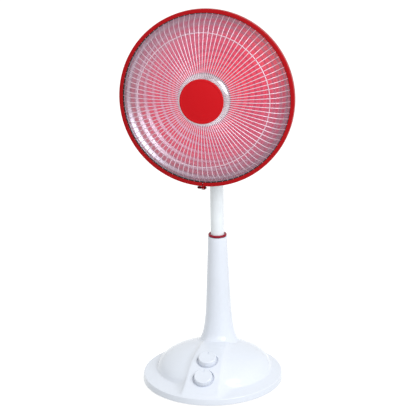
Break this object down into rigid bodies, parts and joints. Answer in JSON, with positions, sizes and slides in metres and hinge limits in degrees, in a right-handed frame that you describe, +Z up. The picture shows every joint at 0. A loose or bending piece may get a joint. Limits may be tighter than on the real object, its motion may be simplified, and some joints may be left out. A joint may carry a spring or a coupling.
{
  "type": "radiant heater",
  "caption": "Pedestal radiant heater: a reflector dish with a wire guard on a telescoping, swinging and tilting pole over a round base with two knobs.",
  "frame": {"origin": "on the floor under the centre of the round base, at the bottom of the feet", "axes": "+Z up, -Y to the front where the dish faces and the knobs are, +X to the right of a person who faces its front"},
  "size_m": [0.4, 0.331, 0.8884],
  "materials": {
    "body_plastic": "glossy cool white moulded plastic",
    "pole_paint": "smooth cool white paint on steel tube",
    "rim_paint": "glossy red paint on steel",
    "red_plastic": "glossy red moulded plastic",
    "guard_chrome": "bright plated wire",
    "cap_chrome": "polished spun metal",
    "reflector": "bright rolled aluminium with pressed rings",
    "steel": "zinc plated steel",
    "weight": "rough cast iron",
    "rubber": "matte black rubber",
    "nylon": "natural nylon",
    "black_plastic": "fine textured black plastic",
    "ceramic": "unglazed ceramic",
    "hot_wire": "resistance wire, glowing orange red"
  },
  "bodies": {
    "base": {"base_cover": "body_plastic", "base_plate": "steel", "base_weight": "weight", "foot_1": "rubber", "foot_2": "rubber", "foot_3": "rubber", "foot_4": "rubber", "guide_flange": "steel", "guide_tube": "steel", "column": "body_plastic", "column_ring": "red_plastic", "pole_bush": "nylon", "timer_body": "steel", "power_switch_body": "black_plastic", "tip_switch_body": "black_plastic", "terminal_block": "nylon", "cord_gland": "rubber"},
    "timer_dial": {"timer_knob": "body_plastic"},
    "power_dial": {"power_knob": "body_plastic"},
    "plunger": {"tip_plunger": "red_plastic"},
    "mast": {"inner_pole": "pole_paint", "pole_stop": "nylon", "neck_housing": "body_plastic", "neck_lid": "body_plastic", "swivel_bush": "nylon", "oscillation_motor": "steel"},
    "crank": {"crank_disc": "nylon"},
    "swivel": {"swing_lever": "steel", "lever_screw": "steel", "tilt_fork": "steel", "tilt_bolt": "steel"},
    "tilt_grip": {"tilt_knob": "black_plastic"},
    "head": {"rear_housing": "body_plastic", "tilt_lug": "body_plastic", "rear_cover": "body_plastic", "mount_plate": "steel", "element_socket": "ceramic", "thermal_cutout": "black_plastic", "dish_reflector": "reflector", "rim_ring": "rim_paint", "clamp_screw": "rim_paint", "clamp_nut": "steel", "guard_wires": "guard_chrome", "guard_hoop": "guard_chrome", "hub_disc": "red_plastic", "hub_plate": "steel", "hub_screw": "steel", "element_core": "ceramic", "heating_coil": "hot_wire", "element_cap": "cap_chrome", "cap_screw": "steel"}
  },
  "joints": [
    {"name": "height_slide", "type": "slide", "parent": "base", "child": "mast", "axis": [0, 0, 1], "range_m": [-0.14, 0]},
    {"name": "swing", "type": "hinge", "parent": "mast", "child": "swivel", "pos_m": [0, 0.0792, 0.568], "axis": [0, 0, 1], "range_deg": [-30, 30]},
    {"name": "crank_turn", "type": "hinge", "parent": "mast", "child": "crank", "pos_m": [0, 0.0992, 0.545], "axis": [0, 0, 1], "range_deg": [-90, 90]},
    {"name": "tilt", "type": "hinge", "parent": "swivel", "child": "head", "pos_m": [0, 0.0792, 0.6], "axis": [-1, 0, 0], "range_deg": [-17, 18]},
    {"name": "tilt_knob_turn", "type": "hinge", "parent": "swivel", "child": "tilt_grip", "pos_m": [0.0152, 0.0792, 0.6], "axis": [1, 0, 0], "range_deg": [0, 270]},
    {"name": "timer_turn", "type": "hinge", "parent": "base", "child": "timer_dial", "pos_m": [0, -0.058, 0.066], "axis": [0, -0.2878, 0.9577], "range_deg": [-300, 0]},
    {"name": "power_turn", "type": "hinge", "parent": "base", "child": "power_dial", "pos_m": [0, -0.1065, 0.042], "axis": [0, -0.4569, 0.8895], "range_deg": [-180, 0]},
    {"name": "plunger_slide", "type": "slide", "parent": "base", "child": "plunger", "axis": [0, 0, 1], "range_m": [-0.004, 0], "stiffness_N_per_m": 150, "springref_m": -0.01}
  ],
  "couplings": [
    {"joint": "crank_turn", "follows": "swing", "ratio": 3}
  ]
}
